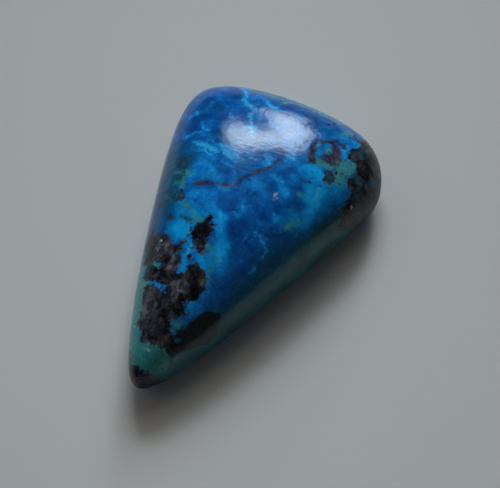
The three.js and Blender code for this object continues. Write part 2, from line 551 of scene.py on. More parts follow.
# %% Sky-blue feathers
FEATHERS = [
    [(-8.2, 20.0, 0.2), (-7.1, 18.9, 0.34), (-6.5, 17.9, 0.34), (-6.3, 17.2, 0.30),
     (-5.6, 16.6, 0.46), (-4.9, 16.2, 0.40), (-4.2, 15.5, 0.16)],
    [(-4.3, 14.9, 0.22), (-4.1, 14.3, 0.44), (-3.7, 13.8, 0.26)],
    [(-3.4, 13.3, 0.30), (-3.0, 12.7, 0.52), (-2.8, 12.0, 0.40), (-2.4, 11.2, 0.10)],
    [(-3.9, 18.7, 0.2), (-3.4, 18.2, 0.42), (-2.9, 17.8, 0.34), (-2.2, 17.4, 0.42),
     (-1.7, 17.2, 0.16)],
    [(-11.5, 13.4, 0.10), (-11.2, 12.9, 0.30), (-11.0, 12.6, 0.14)],
    [(-12.2, 12.5, 0.10), (-11.8, 12.1, 0.14)],
    [(-10.3, 15.3, 0.10), (-10.1, 15.0, 0.22)],
    [(-6.8, 13.7, 0.14), (-6.5, 13.4, 0.28)],
    [(-9.6, 11.3, 0.10), (-9.1, 10.7, 0.26), (-8.7, 10.2, 0.24), (-8.2, 10.4, 0.24)],
    [(-11.1, 8.8, 0.18), (-10.3, 9.2, 0.26), (-9.6, 9.6, 0.22), (-8.9, 10.0, 0.20)],
    [(-9.4, 8.2, 0.08), (-8.4, 7.9, 0.36), (-7.2, 7.7, 0.56), (-6.0, 7.5, 0.46), (-5.0, 7.4, 0.12)],
    [(-8.0, 7.2, 0.10), (-7.0, 7.0, 0.30), (-6.0, 6.7, 0.26), (-5.2, 6.4, 0.08)],
    [(-7.4, 8.6, 0.08), (-6.2, 8.3, 0.20), (-5.2, 8.3, 0.34), (-4.2, 8.5, 0.40), (-3.2, 8.2, 0.36),
     (-2.2, 7.6, 0.12)],
    [(-5.4, 8.0, 0.16), (-4.4, 7.9, 0.52), (-3.3, 7.5, 0.46), (-2.0, 6.8, 0.08)],
    [(-4.6, 6.9, 0.06), (-3.4, 6.4, 0.16), (-2.4, 6.0, 0.06)],
    [(9.5, 19.7, 0.10), (9.3, 18.6, 0.16), (9.0, 17.4, 0.10)],
    [(8.3, 16.6, 0.12), (8.5, 15.6, 0.30), (8.9, 14.8, 0.12)],
    [(4.0, -0.6, 0.10), (4.7, -0.8, 0.20), (5.3, -0.8, 0.10)],
    [(4.9, -1.1, 0.12), (5.4, -1.3, 0.26), (6.0, -1.5, 0.16)],
    [(6.0, -1.5, 0.12), (6.2, -2.0, 0.12), (6.3, -2.9, 0.06)],
    [(3.3, -1.1, 0.08), (3.2, -2.0, 0.12), (3.5, -2.7, 0.06)],
    [(4.4, -1.0, 0.10), (4.1, -1.8, 0.08)],
    [(4.9, 2.9, 0.08), (5.5, 2.4, 0.20), (5.4, 1.7, 0.08)],
    [(0.8, 1.5, 0.14), (1.3, 1.7, 0.34), (1.7, 1.3, 0.14)],
    [(0.5, 0.4, 0.08), (1.1, 0.2, 0.22), (1.5, 0.3, 0.08)],
    [(0.3, 5.6, 0.06), (1.0, 5.2, 0.10), (1.8, 4.6, 0.06)],
    [(0.9, 5.9, 0.05), (1.3, 4.9, 0.08), (1.5, 4.2, 0.05)],
    [(4.7, 6.5, 0.10), (4.9, 5.8, 0.26), (4.7, 5.0, 0.10)],
    [(3.0, 7.2, 0.08), (3.8, 6.9, 0.16), (4.4, 6.4, 0.08)],
    [(3.1, 11.3, 0.12), (3.5, 10.7, 0.30), (4.0, 10.2, 0.12)],
    [(6.0, -4.2, 0.08), (6.1, -4.8, 0.22), (5.8, -5.3, 0.08)],
    [(-2.0, -5.0, 0.20), (-1.8, -6.2, 0.34), (-1.5, -7.2, 0.24), (-1.5, -8.2, 0.16)],
    [(0.3, 9.6, 0.10), (0.8, 8.9, 0.30), (1.2, 8.3, 0.34), (0.9, 7.6, 0.10)],
    [(-4.0, -11.3, 0.2), (-3.4, -11.4, 0.28), (-2.8, -11.5, 0.2)],
    [(0.4, -2.6, 0.2), (0.0, -1.8, 0.36), (-0.6, -0.9, 0.36), (-1.2, -0.2, 0.2)],
    [(1.0, -4.4, 0.2), (1.5, -5.2, 0.46), (1.9, -6.1, 0.3)],
    [(7.9, 8.6, 0.3), (8.3, 7.6, 0.5), (8.4, 6.6, 0.3)],
]
feathers = on_far_side(veins(FEATHERS), wavelength=2.4, seed=55, share=0.015)
print("feathers cover", share_inside(feathers))

# %% [markdown]
# Green is malachite: a pale thin vein at the left, a rim on the turquoise beside the dark rock,
# streaks along the broad end, and the tip. The pale green line along the top rim is partly malachite
# and partly painted reflection, the sheen of the bright lamps behind on the rim.

# %% Green, with painted rim sheen
GREEN_LUMPS = [
    (9.4, 13.2, 1.3, 1.4, 0), (10.2, 13.6, 0.9, 1.3, 0), (6.9, 12.0, 1.5, 0.7, 5),
    (9.8, 11.6, 0.9, 1.0, 0), (11.5, 13.3, 0.6, 0.5, 0), (7.3, 19.0, 0.35, 1.1, -5),
    (6.9, 14.2, 0.3, 0.4, 0), (6.6, 6.6, 0.4, 0.25, 20), (7.4, 2.5, 0.2, 0.75, -30),
    (-7.6, 2.5, 0.32, 0.7, 10), (-8.1, 2.3, 0.4, 0.2, 0), (-9.0, 3.8, 0.7, 0.25, -20),
    (-6.5, -0.4, 0.35, 0.2, 0), (-2.9, -2.3, 0.7, 0.3, 30), (-4.9, -9.0, 0.5, 0.35, 0),
    (-3.4, -7.1, 0.15, 0.35, 0), (-1.7, -6.1, 0.25, 0.45, 0), (-5.2, -11.4, 0.7, 0.25, -15),
]
GREEN_VEINS_AND_RIM_SHEEN = [
    [(-8.1, 4.4, 0.08), (-7.7, 3.6, 0.18), (-7.5, 2.6, 0.28), (-7.4, 1.9, 0.22), (-7.0, 1.2, 0.12),
     (-6.2, 0.0, 0.08)],
    [(-6.0, -0.6, 0.10), (-5.0, -1.1, 0.16), (-4.0, -1.6, 0.22), (-3.0, -2.0, 0.22)],
    [(-0.2, -4.9, 0.10), (0.4, -5.4, 0.14), (0.9, -6.0, 0.14), (1.3, -6.7, 0.12),
     (1.7, -7.5, 0.10)],
    [(-1.6, 20.2, 0.12), (-2.0, 18.8, 0.12), (-2.3, 17.8, 0.08)],
    # along the top rim: malachite with painted rim sheen, where the rim mirrors the lamps behind
    [(-6.8, 20.4, 0.4), (-4.0, 20.6, 0.5), (0.0, 21.0, 0.4), (6.0, 21.0, 0.3)],
    [(0.6, -8.0, 0.2), (1.4, -8.3, 0.3), (2.0, -8.8, 0.2)],
    [(1.4, -14.4, 0.2), (0.8, -15.2, 0.34), (1.0, -16.0, 0.34), (1.6, -16.8, 0.2)],
]
GREEN_PLATES = [
    [(-6.8, -9.6), (-5.6, -11.4), (-4.6, -12.8), (-3.8, -15.0), (-3.0, -17.0), (-2.0, -18.0),
     (0.4, -17.8), (2.6, -18.0), (1.6, -20.4), (-0.6, -22.6), (-3.0, -30.0), (-16.0, -26.0),
     (-14.0, -12.0)],
]
green_and_rim_sheen = both(lumps(GREEN_LUMPS), veins(GREEN_VEINS_AND_RIM_SHEEN), plates(GREEN_PLATES))
green_and_rim_sheen = on_far_side(green_and_rim_sheen, wavelength=6.0, seed=61, share=0.07)
print("green covers", share_inside(green_and_rim_sheen))

# %% [markdown]
# Low on the right the blue gives way to a dark sea-green flank. Its colour is partly the mineral's
# green and partly painted shade, darker where the low flank turns away from the lamps. Between the
# two, and on the left side, the blue turns to a duller slate blue. Both change over some
# millimetres, so their plates get a very soft edge in the shader.

# %% Sea-green flank with painted shade, and slate-blue sides
# the low right flank: sea-green, darkened with painted shade
SEA_GREEN_AND_SHADE_PLATES = [
    [(12.6, 9.4), (11.2, 7.8), (10.6, 6.6), (10.1, 5.4), (9.8, 4.0), (9.9, 2.6), (10.0, 1.0),
     (9.8, -0.6), (9.4, -2.2), (8.8, -4.2), (8.0, -6.0), (7.0, -8.2), (5.8, -10.0), (4.6, -12.0),
     (3.8, -13.6), (3.2, -15.2), (1.6, -16.6), (0.6, -17.6), (0.4, -19.4), (-0.4, -21.4),
     (-1.0, -32.0), (16.0, -26.0), (28.0, -6.0), (28.0, 20.0), (17.0, 12.4), (13.0, 10.4)],
]
# this field also carries the painted shade of the low right flank
sea_green_and_shade = on_far_side(plates(SEA_GREEN_AND_SHADE_PLATES), wavelength=9.0, seed=71, share=0.12)
SLATE_BLUE_PLATES = [
    [(9.4, 2.4), (8.0, 1.6), (7.2, 0.2), (6.8, -2.0), (6.2, -4.5), (5.2, -6.6), (4.4, -8.6),
     (4.2, -11.0), (5.4, -12.4), (12.0, -12.0), (18.0, -2.0), (14.0, 3.0)],
    [(-8.4, 7.0), (-8.0, 4.6), (-7.4, 1.8), (-6.6, 0.2), (-7.4, -1.0), (-7.9, -2.6), (-7.6, -4.0),
     (-7.2, -5.2), (-6.8, -9.0), (-14.0, -12.0), (-24.0, -6.0), (-24.0, 8.0), (-15.0, 7.6),
     (-11.0, 7.6)],
]
slate_blue = on_far_side(plates(SLATE_BLUE_PLATES), wavelength=7.0, seed=73, share=0.15)
print("flank covers", share_inside(sea_green_and_shade), "and slate blue", share_inside(slate_blue))

# %% [markdown]
# The dark rock is what the copper minerals grew in: near black, with brown and grey
# grains. One mass fills the lower left towards the tip, another the right-hand corner.
# Its border is crisp and jagged, so it is drawn as plates with many corners.

# %% Dark rock
ROCK_PLATES = [
    [(-8.6, -5.0), (-7.4, -5.6), (-6.6, -5.1), (-5.9, -4.8), (-5.3, -5.4), (-4.6, -5.8),
     (-3.7, -6.1), (-3.2, -6.5), (-2.7, -6.9), (-2.4, -7.6), (-2.1, -8.5), (-1.8, -9.3),
     (-1.2, -9.2), (-1.0, -8.4), (-0.6, -7.7), (0.2, -7.6), (1.0, -7.9), (1.7, -8.3), (2.1, -9.2),
     (2.1, -10.4), (1.8, -11.2), (1.2, -11.7), (0.5, -11.9), (0.9, -12.5), (1.5, -13.2),
     (1.1, -13.9), (0.4, -14.3), (0.2, -15.2), (0.5, -16.1), (1.0, -16.8), (1.9, -17.0),
     (3.0, -17.2), (2.4, -18.0), (1.7, -19.2), (0.9, -18.7), (0.2, -18.3), (-0.8, -18.6),
     (-2.2, -18.5), (-2.7, -17.4), (-3.6, -16.8), (-4.0, -15.6), (-4.4, -14.4), (-4.9, -13.3),
     (-5.4, -12.5), (-5.3, -11.7), (-6.1, -10.9), (-6.8, -10.2), (-7.8, -9.0), (-8.8, -7.2)],
    [(9.6, 20.2), (9.5, 19.2), (9.4, 18.4), (9.4, 17.4), (9.0, 16.6), (9.1, 15.8), (9.3, 15.0),
     (10.2, 15.1), (10.9, 14.6), (11.1, 13.8), (11.0, 12.9), (10.5, 12.1), (10.7, 11.4),
     (11.5, 11.2), (11.9, 10.2), (11.9, 9.2), (12.0, 8.3), (13.0, 7.2), (14.0, 7.2), (15.0, 8.2),
     (15.6, 9.6), (17.5, 11.5), (28.0, 14.0), (20.0, 28.0), (10.5, 28.0)],
]
ROCK_LUMPS = [
    (-1.7, -3.5, 1.35, 1.4, 10), (-2.0, -2.0, 0.4, 0.7, 0), (-1.2, -2.8, 0.6, 0.7, 0),
    (-1.1, -5.3, 0.75, 0.6, 0), (0.0, -6.3, 0.55, 0.35, 20), (1.75, -15.6, 0.55, 0.7, 0),
    (1.5, -17.1, 1.2, 0.6, 0), (-0.5, -5.9, 0.3, 0.5, 0), (-6.2, -2.9, 0.3, 0.25, -10),
    (-1.3, -6.85, 0.14, 0.16, 0), (8.65, 10.9, 0.8, 1.2, -6), (-1.2, -22.6, 1.8, 1.3, -10),
    (0.6, -23.2, 1.2, 1.2, 0), (-1.0, -24.6, 2.4, 2.0, 0), (-3.2, -21.6, 0.9, 1.2, 30),
    (8.5, 9.8, 0.15, 0.4, 0), (6.8, 8.75, 0.18, 0.18, 0), (6.4, 8.5, 0.12, 0.15, 0),
]
ROCK_VEINS = [
    [(-3.1, -4.5, 0.15), (-3.15, -5.3, 0.22), (-3.3, -6.2, 0.25)],
    [(-7.2, 1.3, 0.06), (-6.8, 0.7, 0.12), (-6.4, 0.1, 0.1)],
    [(5.1, 19.7, 0.14), (4.8, 19.2, 0.12), (4.4, 18.4, 0.14), (3.9, 17.7, 0.08), (3.6, 16.6, 0.05)],
]
ROCK_HOLES = [
    (-3.4, -11.35, 0.8, 0.28, -20), (-5.0, -8.9, 0.45, 0.3, 20), (-3.4, -7.1, 0.15, 0.4, 0),
    (8.9, 11.0, 0.2, 0.4, -5), (-5.1, -11.5, 0.6, 0.2, -15),
]
dark_rock = both(plates(ROCK_PLATES), lumps(ROCK_LUMPS), veins(ROCK_VEINS))
dark_rock = without(dark_rock, lumps(ROCK_HOLES))
dark_rock = on_far_side(dark_rock, wavelength=7.0, seed=81, share=0.13)
print("dark rock covers", share_inside(dark_rock))

# %% Smooth dark plates
OLIVE_PLATES = [
    [(4.7, -11.4), (5.0, -12.2), (5.3, -13.4), (5.2, -14.8), (4.7, -15.6), (4.1, -16.3),
     (3.2, -17.2), (2.4, -17.6), (1.9, -16.4), (2.0, -15.0), (2.2, -14.0), (2.5, -13.0),
     (3.1, -12.2), (3.9, -11.8)],
]
SLATE_PLATES = [
    [(-10.3, 5.9), (-8.3, 6.0), (-8.0, 5.0), (-8.1, 4.3), (-9.6, 4.3), (-10.6, 5.0)],
    [(-8.1, 0.9), (-7.4, 1.2), (-6.7, 0.5), (-6.3, -0.2), (-7.2, -0.5), (-8.3, 0.1)],
]
SLATE_LUMPS = [
    (11.8, 13.2, 0.9, 0.7, 0), (13.5, 15.0, 0.5, 0.9, -20), (10.2, 17.0, 0.5, 1.2, 0),
    (11.0, 18.6, 0.4, 0.8, 10), (13.2, 11.8, 0.7, 0.4, 30), (-4.9, 2.7, 0.7, 0.4, 15),
    (-6.1, -2.85, 0.7, 0.4, -10), (-4.3, -2.4, 0.75, 0.28, -10), (-9.7, 0.5, 1.0, 0.4, 20),
    (-9.2, -1.2, 1.0, 0.4, 30), (-8.1, 3.2, 0.35, 0.55, 0), (8.5, 10.8, 0.4, 0.6, -5),
    (9.7, 12.4, 0.3, 0.3, 0),
]
olive_plate = shown_side_only(plates(OLIVE_PLATES))
slate = shown_side_only(both(plates(SLATE_PLATES), lumps(SLATE_LUMPS)))
print("olive plate covers", share_inside(olive_plate), "and slate", share_inside(slate))

# %% Light and dark in the rock, and specks beside it
ROCK_CLOUDS = [
    # middle x and y, half width, half length, turn, and what it adds to the rock's tone
    (-1.8, -3.5, 1.4, 2.0, 15, -0.45), (0.8, -9.6, 1.5, 1.6, 0, -0.25),
    (0.7, -13.2, 0.9, 1.0, 0, -0.35), (-0.8, -14.8, 0.8, 0.9, 0, -0.2),
    (1.2, -10.8, 0.7, 0.9, 0, -0.3), (-3.9, -8.0, 0.4, 0.9, 0, -0.25),
    (-5.2, -6.8, 1.4, 1.2, 0, 0.12), (-3.2, -13.0, 1.4, 1.4, 0, 0.16),
    (-3.6, -15.6, 0.9, 1.4, 0, 0.22), (-3.2, -10.2, 1.4, 0.8, 0, -0.12),
    (11.0, 17.5, 2.4, 3.0, 0, -0.16), (14.5, 14.5, 3.0, 4.0, 0, -0.20),
    (12.6, 9.4, 1.6, 1.8, 0, -0.25), (1.4, -8.6, 0.6, 0.6, 0, 0.40),
    (1.65, -9.2, 0.25, 0.3, 0, 0.35), (-0.6, -22.8, 2.4, 1.4, 0, -0.15),
    (0.4, -11.8, 0.7, 0.5, 0, -0.2),
]
SPECK_ZONES = [
    (9.4, 12.6, 2.2, 2.6, 0), (8.6, 17.8, 1.4, 1.8, 0), (6.8, 13.6, 2.4, 2.0, 0),
    (-1.6, -6.8, 1.0, 1.8, 0), (1.3, -13.6, 1.0, 2.4, 0), (9.2, 9.8, 2.4, 1.6, 0),
    (-0.4, -4.6, 0.8, 1.4, 0), (2.4, -8.6, 0.9, 0.9, 0),
]
ROCK_FACETS = [
    [(-1.2, -10.0), (0.4, -9.9), (0.7, -10.6), (0.1, -11.3), (-1.0, -11.3), (-1.4, -10.6)],
    [(-3.5, -7.7), (-3.1, -7.5), (-2.8, -8.2), (-2.9, -8.8), (-3.3, -8.9), (-3.6, -8.3)],
    [(12.7, 15.6), (13.4, 15.9), (13.8, 15.0), (13.2, 14.4)],
    [(-6.4, -5.9), (-5.6, -6.4), (-5.8, -7.4), (-6.8, -7.0)],
]
FACET_LIGHT, FAR_ROCK_SWING = 0.30, 0.25
facet_light = FACET_LIGHT * smooth_step(plates(ROCK_FACETS), -0.05, 0.10)
far_rock = FAR_ROCK_SWING * layered_noise(far_places, 5.0, 85)
rock_tone = by_side(clouds(0.0, ROCK_CLOUDS) + facet_light, far_rock)
speck_zone = on_far_side(lumps(SPECK_ZONES), wavelength=5.0, seed=88, share=0.2)
print("rock tone", round(rock_tone.min(), 2), "to", round(rock_tone.max(), 2))

# %% [markdown]
# Red-brown is cuprite and rust. It draws a broken ring at the right with a few marks beside it, and
# a seam that wanders across the middle. The seam is a field of its own, because its edge is cleaner.
# A few tiny near-white specks are painted glints, light caught in pits, most of them over pits of
# the relief below, and one near the tip is a pale fleck.

# %% Red-brown, and pale specks that are mostly painted glints
RUST_VEINS = [
    [(5.1, 15.0, 0.30), (4.95, 13.8, 0.34), (5.1, 12.8, 0.34), (5.3, 12.0, 0.46),
     (5.4, 11.4, 0.46)],
    [(5.1, 15.0, 0.26), (5.8, 15.1, 0.26), (6.4, 15.5, 0.36), (7.0, 15.7, 0.40), (7.5, 15.0, 0.52),
     (8.0, 14.6, 0.34), (8.5, 14.3, 0.22), (8.6, 13.6, 0.18), (8.4, 12.9, 0.16), (8.5, 12.2, 0.10)],
    [(7.4, 15.0, 0.40), (7.7, 14.2, 0.36), (7.5, 13.5, 0.44), (6.9, 13.3, 0.46), (6.3, 13.1, 0.34),
     (6.8, 12.7, 0.34), (7.7, 12.9, 0.30), (8.2, 13.1, 0.2)],
    [(7.6, 16.1, 0.20), (8.1, 16.2, 0.22), (8.4, 15.8, 0.12)],
    [(9.05, 19.6, 0.20), (9.15, 20.2, 0.26)],
    [(8.3, 19.4, 0.26), (8.9, 18.9, 0.32), (9.3, 19.3, 0.20)],
    [(6.8, 17.0, 0.16), (7.2, 16.5, 0.26), (7.0, 15.9, 0.20)],
]
SEAM_VEINS = [
    [(-6.0, 2.2, 0.16), (-5.5, 2.5, 0.40), (-4.8, 2.8, 0.40), (-4.1, 3.0, 0.24), (-3.2, 3.2, 0.22),
     (-2.4, 3.5, 0.22), (-1.7, 3.7, 0.19), (-0.9, 4.2, 0.18), (-0.4, 4.8, 0.18), (0.0, 5.4, 0.16),
     (0.4, 6.0, 0.20), (0.5, 6.6, 0.24), (0.9, 7.1, 0.32), (1.3, 7.3, 0.26), (1.6, 7.9, 0.19),
     (1.7, 8.6, 0.20), (1.9, 9.3, 0.20), (2.1, 10.0, 0.18), (2.2, 11.2, 0.12)],
]
# near-white specks: painted glints over the pits, and one pale fleck near the tip
PALE_FLECKS_AND_GLINTS = [
    (4.0, 4.95, 0.13, 0.2, 0), (4.45, 4.6, 0.1, 0.12, 0), (4.2, 4.35, 0.1, 0.08, 0),
    (-3.9, -17.25, 0.22, 0.12, 0), (-1.6, -13.85, 0.12, 0.14, 0), (-6.2, -5.9, 0.15, 0.12, 0),
    (13.0, 10.0, 0.2, 0.18, 0), (-0.8, -19.15, 0.16, 0.09, 20),
]
rust = on_far_side(veins(RUST_VEINS), wavelength=3.0, seed=57, share=0.01)
seam = shown_side_only(veins(SEAM_VEINS))
pale_fleck_and_glint = shown_side_only(lumps(PALE_FLECKS_AND_GLINTS))
print("red-brown covers", share_inside(both(rust, seam)), "and pale grains", share_inside(pale_fleck_and_glint))

# %% [markdown]
# Grinding leaves real relief, if only a little. The dark rock is cut a few hundredths
# of a millimetre deeper than the hard blue, the red-brown seam hardly at all, there are
# small pits, and the whole surface waves slightly, which makes a hand-polished highlight
# uneven. This relief is in the mesh, not only in the shading.

# %% Relief
WAVE_DEPTH, ROCK_DEPTH, SEAM_DEPTH, PIT_DEPTH = 0.05, 0.03, 0.008, 0.08
LONG_WAVE_MM, SHORT_WAVE_MM, CHIP_MM = 6.5, 2.4, 0.9
ROCK_SLOPE_MM, SEAM_SLOPE_MM, PIT_SLOPE_MM = (-0.1, 0.25), (-0.1, 0.15), (-0.05, 0.12)
FADE_HEIGHTS_MM = (0.05, 0.8)  # the relief fades out between these heights above the base
PITS = [
    (-3.9, -17.25, 0.22, 0.14, 0), (-6.1, -5.9, 0.16, 0.16, 0), (4.1, 4.7, 0.2, 0.16, 0),
    (-1.9, -13.0, 0.14, 0.14, 0), (0.3, -10.7, 0.14, 0.2, 30), (12.9, 10.1, 0.2, 0.2, 0),
    (-4.4, -9.6, 0.14, 0.14, 0), (-2.4, -15.8, 0.12, 0.16, 0), (10.8, 15.6, 0.18, 0.14, 0),
    (1.6, -17.6, 0.16, 0.16, 0), (-0.9, -22.2, 0.16, 0.16, 0),
]
chips = layered_noise(places, CHIP_MM, 91)
long_wave = noise_field(places, LONG_WAVE_MM, 95)
short_wave = noise_field(places, SHORT_WAVE_MM, 96)
depth = WAVE_DEPTH * (0.5 + 0.5 * long_wave + 0.18 * short_wave)
depth += ROCK_DEPTH * smooth_step(dark_rock, *ROCK_SLOPE_MM) * (0.7 + 0.5 * chips)
depth += SEAM_DEPTH * smooth_step(both(rust, seam), *SEAM_SLOPE_MM)
depth += PIT_DEPTH * smooth_step(lumps(PITS), *PIT_SLOPE_MM)
depth *= smooth_step(places[:, 2], *FADE_HEIGHTS_MM)
skin = places - normals * depth[:, None]
print("relief up to", round(float(depth.max()), 3), "mm deep")

# %% [markdown]
# The low flank on the right is hazier than the dome, as a hand polish often is where a
# piece is hard to hold to the wheel. A field of its own says where: low down, and only
# where the skin faces that side.

# %% Hazy low flank
HAZY_TURN_DEG, HAZY_HEIGHT_DEG = 65.0, 10.0
HAZE_FULL_MM, HAZE_TOP_MM = 2.5, 7.5
HAZE_STARTS, HAZE_IS_FULL = 0.1, 0.7  # how much the skin faces the hazy side
hazy_side = np.array(direction(HAZY_TURN_DEG, HAZY_HEIGHT_DEG))
low_down = 1 - smooth_step(places[:, 2], HAZE_FULL_MM, HAZE_TOP_MM)
haze = low_down * smooth_step(normals @ hazy_side, HAZE_STARTS, HAZE_IS_FULL)
print("hazy share of the points", round(float(haze.mean()), 2))

# %% [markdown]
# The mesh is made straight from the arrays. Every field goes with it as a named
# attribute, one number a point. Over the base, which is a saw cut made flat, each field
# stays at one level: a little outside for the larger minerals, so that the shader's
# noise brings some of them up, and far outside for the small ones.

# %% Mesh of the stone
points = np.concatenate([skin, base_rings, base_middle[None, :]])
faces = dome_faces.tolist() + base_faces.tolist() + fan_faces.tolist()
mesh = bpy.data.meshes.new("stone_skin")
mesh.from_pydata((points * MM).tolist(), [], faces)
mesh.polygons.foreach_set("use_smooth", np.ones(len(mesh.polygons), bool))
print("mesh has", len(mesh.vertices), "points and", len(mesh.polygons), "faces")

# %% Fields on the mesh
JUST_OUTSIDE_MM = -0.2
FIELDS = {
    # name: the field on the dome, and its level on the base
    "blue_tone": (blue_tone, 0.4),
    "turquoise": (turquoise, JUST_OUTSIDE_MM),
    "green_and_rim_sheen": (green_and_rim_sheen, JUST_OUTSIDE_MM),
    "sea_green_and_shade": (sea_green_and_shade, JUST_OUTSIDE_MM),
    "slate_blue": (slate_blue, OUTSIDE_MM),
    "dark_rock": (dark_rock, JUST_OUTSIDE_MM),
    "rock_tone": (rock_tone, 0.0),
    "speck_zone": (speck_zone, JUST_OUTSIDE_MM),
    "olive_plate": (olive_plate, OUTSIDE_MM),
    "slate": (slate, OUTSIDE_MM),
    "rust": (rust, OUTSIDE_MM),
    "seam": (seam, OUTSIDE_MM),
    "feathers": (feathers, OUTSIDE_MM),
    "pale_fleck_and_glint": (pale_fleck_and_glint, OUTSIDE_MM),
    "haze": (haze, 1.0),
}
base_points = len(base_rings) + 1
for name, (field, base_level) in FIELDS.items():
    values = np.concatenate([field, np.full(base_points, base_level)])
    attribute = mesh.attributes.new(name, "FLOAT", "POINT")
    attribute.data.foreach_set("value", values.astype(np.float32))
mesh.validate()
mesh.update()
stone = bpy.data.objects.new("polished_stone", mesh)
bpy.context.scene.collection.objects.link(stone)
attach(stone, "root")
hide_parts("stone")
print("stone has", len(mesh.vertices), "points and", len(mesh.loop_triangles), "triangles")

# %% [markdown]
# The material is polished rock of copper minerals. The fields say roughly where each
# mineral is. Noise of fixed sizes in millimetres roughens their edges and mottles their
# colours, which would take far more points if the mesh had to hold it.

# %% Material and colours


def colour(hex_code):
    """An sRGB hex colour as the linear colour that the shader works in.

    The darkest parts are divided by 12.92. The others follow a power curve of 2.4.
    """
    parts = [int(hex_code[i:i + 2], 16) / 255 for i in (1, 3, 5)]
    linear = [c / 12.92 if c <= 0.04045 else ((c + 0.055) / 1.055) ** 2.4 for c in parts]
    return (*linear, 1.0)


material = bpy.data.materials.new("polished_shattuckite")
material.use_nodes = True
nodes, links = material.node_tree.nodes, material.node_tree.links
nodes.clear()


def add(kind, settings, inputs):
    """Adds a node, sets its properties and fills its inputs, by name or number.

    An input gets a value or another node's output.
    """
    node = nodes.new(kind)
    for key, value in settings.items():
        setattr(node, key, value)
    for key, value in inputs.items():
        if isinstance(value, bpy.types.NodeSocket):
            links.new(value, node.inputs[key])
        else:
            node.inputs[key].default_value = value
    return node


print("material", material.name)

# %% Sums, masks and colours from numbers


def weigh(*pairs, plus=0.0):
    """A weighted sum. Each pair is a number and its weight, and plus is added to all."""
    total = plus
    for value, weight in pairs:
        step = add("ShaderNodeMath", {"operation": "MULTIPLY_ADD"}, {0: value, 1: weight, 2: total})
        total = step.outputs[0]
    return total


def times(a, b):
    """One number times another."""
    return add("ShaderNodeMath", {"operation": "MULTIPLY"}, {0: a, 1: b}).outputs[0]


def fade(value, low, high, at_low=0.0, at_high=1.0):
    """Goes in an S-curve from one level to another while the value goes from low to high."""
    levels = {0: value, 1: low, 2: high, 3: at_low, 4: at_high}
    return add("ShaderNodeMapRange", {"interpolation_type": "SMOOTHSTEP"}, levels).outputs[0]


def tinted(value, stops):
    """Turns a number into a mineral's colour. Each stop is a number and a hex colour."""
    node = add("ShaderNodeValToRGB", {}, {0: value})
    elements = node.color_ramp.elements
    while len(elements) < len(stops):
        elements.new(0.5)
    for element, (place, hex_code) in zip(elements, stops):
        element.position = place
        element.color = colour(hex_code)
    return node.outputs[0]


def lay(mask, under, over):
    """Lays one colour over another where the mask is."""
    return add("ShaderNodeMix", {"data_type": "RGBA"}, {0: mask, 6: under, 7: over}).outputs[2]


print("nodes so far", len(nodes))

# %% Fields and noise of real sizes
object_place = add("ShaderNodeTexCoord", {}, {}).outputs["Object"]
in_mm = {0: object_place, "Scale": 1 / MM}
place_mm = add("ShaderNodeVectorMath", {"operation": "SCALE"}, in_mm).outputs[0]


def field_value(name):
    """The field that the mesh carries under this name."""
    return add("ShaderNodeAttribute", {"attribute_name": name}, {}).outputs["Fac"]


def noise_mm(size_mm, detail, roughness, offset):
    """Noise with lumps of a size in millimetres, moved along by an offset.

    Gives three numbers from 0 to 1 that don't depend on each other, and then all three in
    one.
    """
    moved = {0: place_mm, 1: (offset, offset, offset)}
    vector = add("ShaderNodeVectorMath", {"operation": "ADD"}, moved).outputs[0]
    noise = {"Vector": vector, "Scale": 1 / size_mm, "Detail": detail, "Roughness": roughness}
    three = add("ShaderNodeTexNoise", {}, noise).outputs["Color"]
    split = add("ShaderNodeSeparateColor", {}, {0: three})
    return (*split.outputs[:3], three)


fine = noise_mm(0.35, 3.0, 0.65, 0.0)  # the grain of the polished minerals
middle = noise_mm(1.1, 5.0, 0.62, 31.0)  # mottling, and the ripples of the polish
broad = noise_mm(3.2, 3.0, 0.5, 77.0)  # what changes over some millimetres
edge = noise_mm(0.8, 5.0, 0.62, 53.0)  # ragged borders between minerals
blotch = noise_mm(1.7, 2.0, 0.45, 19.0)  # blotches in the blue
specks = noise_mm(0.5, 2.0, 0.6, 13.0)  # small specks and flecks
print("nodes so far", len(nodes))

# %% [markdown]
# Each mineral gets a ramp of its own hex colours, from its dark grains to its light
# ones. A weighted sum of noise runs through it, less what the noise adds on average.
# Thin pale wisps cross the blue, on the crest where one noise is at its middle level.

# %% Blue and turquoise
BLUES = [
    (0.0, "#003f84"), (0.2, "#04509a"), (0.4, "#0862b2"), (0.55, "#0a76ca"), (0.7, "#108ee4"),
    (0.85, "#18a6f4"), (1.0, "#40c2fa"),
]
TURQUOISES = [(0.2, "#006cb0"), (0.4, "#0092da"), (0.6, "#04b0f8"), (0.85, "#28ccff")]
WISP_WIDTH, WISP_PATCH_WIDTH = 0.035, 0.16


def crest(noise, width):
    """1 where the noise is at its middle level, and 0 where it is off by the width."""
    above = weigh((noise, 1.0), plus=-0.5)
    off = add("ShaderNodeMath", {"operation": "ABSOLUTE"}, {0: above}).outputs[0]
    return fade(off, 0.0, width, at_low=1.0, at_high=0.0)


wisps = times(crest(middle[1], WISP_WIDTH), crest(broad[2], WISP_PATCH_WIDTH))
drawn_tone = field_value("blue_tone")
mottle = [(middle[0], 0.9), (blotch[0], 0.9), (fine[0], 0.5), (wisps, 0.14)]
blue = tinted(weigh((drawn_tone, 1.0), *mottle, plus=-1.20), BLUES)
turquoise_mottle = [(fine[1], 0.35), (middle[1], 0.65)]
turquoise_colour = tinted(weigh(*turquoise_mottle, (drawn_tone, 0.9), plus=-0.47), TURQUOISES)
print("blues", len(BLUES), "turquoises", len(TURQUOISES))

